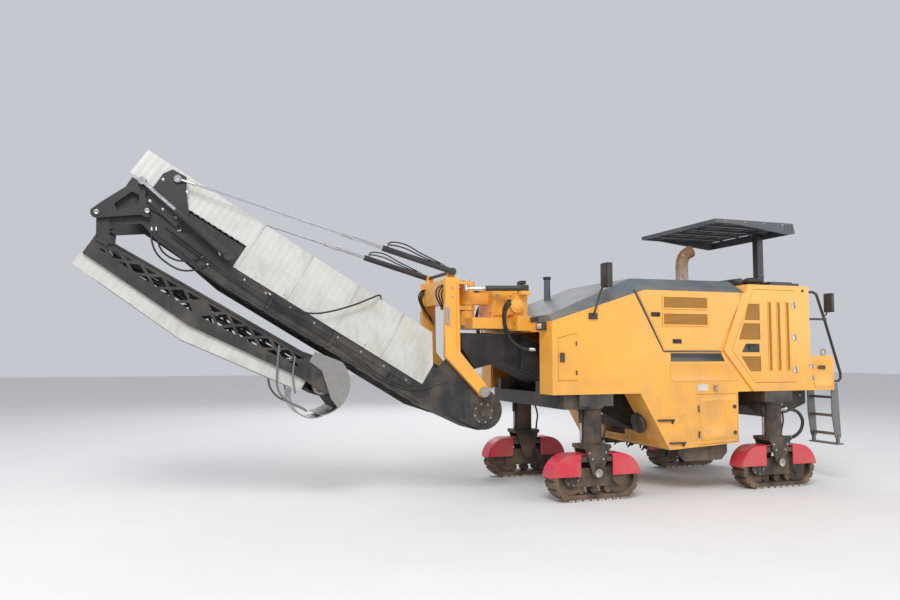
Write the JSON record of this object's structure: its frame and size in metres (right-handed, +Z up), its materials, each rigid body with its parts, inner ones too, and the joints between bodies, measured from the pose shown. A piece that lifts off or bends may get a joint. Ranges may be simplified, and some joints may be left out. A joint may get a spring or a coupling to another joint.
{
  "type": "cold planer",
  "caption": "Tracked cold planer milling machine in yellow with a slate hood, operator canopy, red track fenders and a folded front discharge conveyor.",
  "frame": {"origin": "on the ground under the middle of the machine's whole length, its conveyor folded", "axes": "+X forward, +Y to the machine's left, +Z up"},
  "size_m": [10.5439, 2.8006, 4.3473],
  "materials": {
    "body_yellow": "gloss",
    "hood_slate": "satin",
    "canopy_slate": "satin",
    "frame_black": "satin",
    "dark_steel": "satin",
    "track_steel": "rough",
    "fender_red": "gloss",
    "cover_white": "satin",
    "belt_rubber": "matte",
    "exhaust_rust": "satin",
    "rod_chrome": "polished",
    "black_plastic": "matte"
  },
  "bodies": {
    "root": {"chassis_frame": "frame_black", "body_shell": "body_yellow", "hood": "hood_slate", "engine_block": "dark_steel", "drum_housing": "body_yellow", "primary_conveyor": "belt_rubber", "front_bracket": "body_yellow", "canopy": "canopy_slate", "canopy_post": "frame_black", "operator_console": "frame_black", "exhaust_pipe": "exhaust_rust", "air_precleaner": "black_plastic", "handrail_left": "frame_black", "handrail_right": "frame_black", "ladder": "dark_steel", "mirror_left": "black_plastic", "mirror_right": "black_plastic"},
    "track_unit_front_left": {"leg_front_left": "dark_steel", "track_front_left": "track_steel", "fender_front_left": "fender_red"},
    "track_unit_front_right": {"leg_front_right": "dark_steel", "track_front_right": "track_steel", "fender_front_right": "fender_red"},
    "track_unit_rear_left": {"leg_rear_left": "dark_steel", "track_rear_left": "track_steel", "fender_rear_left": "fender_red"},
    "track_unit_rear_right": {"leg_rear_right": "dark_steel", "track_rear_right": "track_steel", "fender_rear_right": "fender_red"},
    "engine_door_left_body": {"engine_door_left": "body_yellow"},
    "engine_door_right_body": {"engine_door_right": "body_yellow"},
    "rear_door_left_body": {"rear_door_left": "body_yellow"},
    "rear_door_right_body": {"rear_door_right": "body_yellow"},
    "locker_door_body": {"locker_door": "body_yellow"},
    "drum_door_body": {"drum_door": "body_yellow"},
    "milling_drum_body": {"milling_drum": "dark_steel"},
    "side_plate_left_body": {"side_plate_left": "dark_steel"},
    "side_plate_right_body": {"side_plate_right": "dark_steel"},
    "scraper": {"scraper_blade": "dark_steel"},
    "slewing_nose": {"slew_frame": "body_yellow"},
    "boom_inner": {"boom_inner_frame": "frame_black", "boom_cover": "cover_white", "boom_inner_belt": "belt_rubber"},
    "boom_outer": {"boom_outer_frame": "frame_black", "boom_outer_guard": "cover_white", "boom_outer_belt": "belt_rubber", "discharge_head": "rod_chrome"},
    "fold_crank_body": {"fold_crank": "frame_black"},
    "fold_barrels": {"fold_cylinder_barrels": "frame_black"},
    "fold_rod_l": {"fold_rod_left": "rod_chrome"},
    "fold_rod_r": {"fold_rod_right": "rod_chrome"},
    "luff_barrels": {"luff_cylinder_barrels": "frame_black"},
    "luff_rod_l": {"luff_rod_left": "rod_chrome"},
    "luff_rod_r": {"luff_rod_right": "rod_chrome"},
    "slew_barrel_l": {"slew_barrel_left": "frame_black"},
    "slew_barrel_r": {"slew_barrel_right": "frame_black"},
    "slew_rod_l": {"slew_rod_left": "rod_chrome"},
    "slew_rod_r": {"slew_rod_right": "rod_chrome"}
  },
  "joints": [
    {"name": "steer_front_left", "type": "hinge", "parent": "root", "child": "track_unit_front_left", "pos_m": [-1.07411, 1.07, 0], "axis": [0, 0, 1], "range_deg": [-28, 28]},
    {"name": "steer_front_right", "type": "hinge", "parent": "root", "child": "track_unit_front_right", "pos_m": [-1.07411, -1.07, 0], "axis": [0, 0, 1], "range_deg": [-28, 28]},
    {"name": "steer_rear_left", "type": "hinge", "parent": "root", "child": "track_unit_rear_left", "pos_m": [-4.04411, 1.07, 0], "axis": [0, 0, 1], "range_deg": [-20, 20]},
    {"name": "steer_rear_right", "type": "hinge", "parent": "root", "child": "track_unit_rear_right", "pos_m": [-4.04411, -1.07, 0], "axis": [0, 0, 1], "range_deg": [-20, 20]},
    {"name": "hinge_engine_door_left", "type": "hinge", "parent": "root", "child": "engine_door_left_body", "pos_m": [-2.55911, 1.225, 2.735], "axis": [1, 0, 0], "range_deg": [0, 80]},
    {"name": "hinge_engine_door_right", "type": "hinge", "parent": "root", "child": "engine_door_right_body", "pos_m": [-2.55911, -1.225, 2.735], "axis": [-1, 0, 0], "range_deg": [0, 80]},
    {"name": "hinge_rear_door_left", "type": "hinge", "parent": "root", "child": "rear_door_left_body", "pos_m": [-4.38911, 1.225, 2.2], "axis": [0, 0, -1], "range_deg": [-100, 0]},
    {"name": "hinge_rear_door_right", "type": "hinge", "parent": "root", "child": "rear_door_right_body", "pos_m": [-4.38911, -1.225, 2.2], "axis": [0, 0, -1], "range_deg": [0, 100]},
    {"name": "hinge_locker_door", "type": "hinge", "parent": "root", "child": "locker_door_body", "pos_m": [-0.79911, 1.225, 1.8], "axis": [0, 0, 1], "range_deg": [0, 100]},
    {"name": "hinge_drum_door", "type": "hinge", "parent": "root", "child": "drum_door_body", "pos_m": [-2.64411, 1.225, 1], "axis": [0, 0, -1], "range_deg": [0, 100]},
    {"name": "drum_spin", "type": "hinge", "parent": "root", "child": "milling_drum_body", "pos_m": [-2.75911, 0, 0.86], "axis": [0, 1, 0], "continuous": true},
    {"name": "side_plate_left_slide", "type": "slide", "parent": "root", "child": "side_plate_left_body", "axis": [0, 0, 1], "range_m": [-0.3, 0.15]},
    {"name": "side_plate_right_slide", "type": "slide", "parent": "root", "child": "side_plate_right_body", "axis": [0, 0, 1], "range_m": [-0.3, 0.15]},
    {"name": "scraper_swing", "type": "hinge", "parent": "root", "child": "scraper", "pos_m": [-3.29811, 0, 1.04], "axis": [0, 1, 0], "range_deg": [0, 70]},
    {"name": "slew", "type": "hinge", "parent": "root", "child": "slewing_nose", "pos_m": [0.29089, 0, 2.6], "axis": [0, 0, 1], "range_deg": [-50, 50]},
    {"name": "luff", "type": "hinge", "parent": "slewing_nose", "child": "boom_inner", "pos_m": [0.24089, 0, 1.4], "axis": [0, -1, 0], "range_deg": [-20, 15]},
    {"name": "fold", "type": "hinge", "parent": "boom_inner", "child": "boom_outer", "pos_m": [4.95748, 0, 3.5107], "axis": [0, -1, 0], "range_deg": [0, 180]},
    {"name": "fold_crank_turn", "type": "hinge", "parent": "boom_inner", "child": "fold_crank_body", "pos_m": [4.48582, 0, 3.57729], "axis": [0, -1, 0], "range_deg": [0, 40]},
    {"name": "fold_barrels_tilt", "type": "hinge", "parent": "boom_inner", "child": "fold_barrels", "pos_m": [3.56004, 0, 3.07936], "axis": [0, -1, 0], "range_deg": [0, 12]},
    {"name": "fold_rod_left_slide", "type": "slide", "parent": "fold_barrels", "child": "fold_rod_l", "axis": [0.7625, 0, 0.647], "range_m": [-0.35, 0.05]},
    {"name": "fold_rod_right_slide", "type": "slide", "parent": "fold_barrels", "child": "fold_rod_r", "axis": [0.7625, 0, 0.647], "range_m": [-0.35, 0.05]},
    {"name": "luff_barrels_tilt", "type": "hinge", "parent": "slewing_nose", "child": "luff_barrels", "pos_m": [0.68089, 0, 3], "axis": [0, -1, 0], "range_deg": [-30, 22]},
    {"name": "luff_rod_left_slide", "type": "slide", "parent": "luff_barrels", "child": "luff_rod_l", "axis": [0.962, 0, 0.2731], "range_m": [-0.5, 0.6]},
    {"name": "luff_rod_right_slide", "type": "slide", "parent": "luff_barrels", "child": "luff_rod_r", "axis": [0.962, 0, 0.2731], "range_m": [-0.5, 0.6]},
    {"name": "slew_barrel_left_turn", "type": "hinge", "parent": "root", "child": "slew_barrel_l", "pos_m": [-0.36911, 0.55, 2.805], "axis": [0, 0, 1], "range_deg": [-15, 15]},
    {"name": "slew_rod_left_slide", "type": "slide", "parent": "slew_barrel_l", "child": "slew_rod_l", "axis": [0.9412, -0.3379, 0], "range_m": [-0.3, 0.3]},
    {"name": "slew_barrel_right_turn", "type": "hinge", "parent": "root", "child": "slew_barrel_r", "pos_m": [-0.36911, -0.55, 2.805], "axis": [0, 0, 1], "range_deg": [-15, 15]},
    {"name": "slew_rod_right_slide", "type": "slide", "parent": "slew_barrel_r", "child": "slew_rod_r", "axis": [0.9412, 0.3379, 0], "range_m": [-0.3, 0.3]}
  ],
  "couplings": [
    {"joint": "steer_front_right", "follows": "steer_front_left", "ratio": 1},
    {"joint": "steer_rear_right", "follows": "steer_rear_left", "ratio": 1},
    {"joint": "fold_crank_turn", "follows": "fold", "ratio": 0.22222},
    {"joint": "fold_barrels_tilt", "follows": "fold", "ratio": 0.03527},
    {"joint": "fold_rod_left_slide", "follows": "fold", "m_per_rad": -0.06277},
    {"joint": "fold_rod_right_slide", "follows": "fold", "m_per_rad": -0.06277},
    {"joint": "luff_barrels_tilt", "follows": "luff", "ratio": 1.2173},
    {"joint": "luff_rod_left_slide", "follows": "luff", "m_per_rad": -1.423},
    {"joint": "luff_rod_right_slide", "follows": "luff", "m_per_rad": -1.423},
    {"joint": "slew_barrel_left_turn", "follows": "slew", "ratio": -0.01825},
    {"joint": "slew_rod_left_slide", "follows": "slew", "m_per_rad": -0.25896},
    {"joint": "slew_barrel_right_turn", "follows": "slew", "ratio": -0.01825},
    {"joint": "slew_rod_right_slide", "follows": "slew", "m_per_rad": 0.25896}
  ]
}
